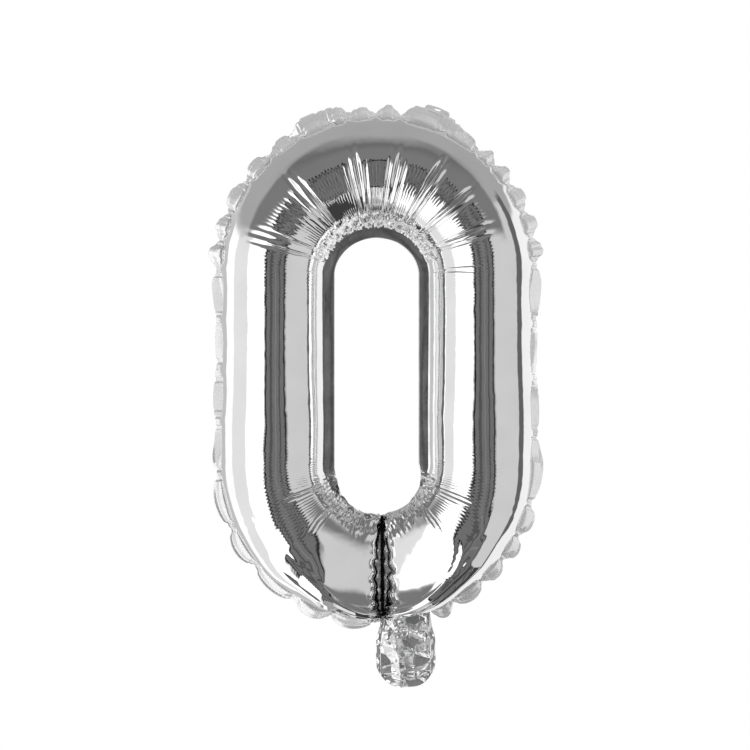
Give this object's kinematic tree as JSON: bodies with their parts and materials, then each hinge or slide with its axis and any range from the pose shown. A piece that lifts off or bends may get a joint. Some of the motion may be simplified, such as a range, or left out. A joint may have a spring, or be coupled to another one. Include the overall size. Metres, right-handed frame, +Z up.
{
  "type": "foil number balloon",
  "caption": "Air-filled mirror foil balloon in the shape of the figure 0, with a filling neck, a self-closing valve and tabs for a hanging ribbon.",
  "frame": {"origin": "middle of the top edge of the outer seal, on the mid-plane where the two foil sheets meet", "axes": "+Z up towards the hanging ribbon, -Y out of the figure's front, +X to the right as the figure is read, towards the filling neck's side"},
  "size_m": [0.232, 0.0728, 0.3993],
  "materials": {
    "mirror_foil": "metallised film, mirror bright",
    "sealed_foil": "metallised film, heat sealed, satin",
    "neck_foil": "metallised film, crinkled",
    "valve_film": "clear film"
  },
  "bodies": {
    "balloon": {"front_foil_panel": "mirror_foil", "back_foil_panel": "mirror_foil", "outer_seal_band": "sealed_foil", "hole_seal_band": "sealed_foil", "closing_weld": "sealed_foil", "valve_front_film": "valve_film", "valve_back_film": "valve_film"},
    "neck": {"neck_front_film": "neck_foil", "neck_back_film": "neck_foil", "neck_left_seal": "sealed_foil", "neck_right_seal": "sealed_foil", "valve_inlet_front_film": "valve_film", "valve_inlet_back_film": "valve_film"},
    "left_tab": {"left_hang_tab": "sealed_foil"},
    "right_tab": {"right_hang_tab": "sealed_foil"}
  },
  "joints": [
    {"name": "neck_fold", "type": "hinge", "parent": "balloon", "child": "neck", "pos_m": [0.02, 0, -0.3538], "axis": [1, 0, 0], "range_deg": [-75, 75]},
    {"name": "right_tab_fold", "type": "hinge", "parent": "balloon", "child": "right_tab", "pos_m": [0.04087, 0, -0.00669], "axis": [0.9367, 0, -0.3502], "range_deg": [-15, 155]},
    {"name": "left_tab_fold", "type": "hinge", "parent": "balloon", "child": "left_tab", "pos_m": [-0.04087, 0, -0.00669], "axis": [0.9367, 0, 0.3502], "range_deg": [-3, 168]}
  ]
}
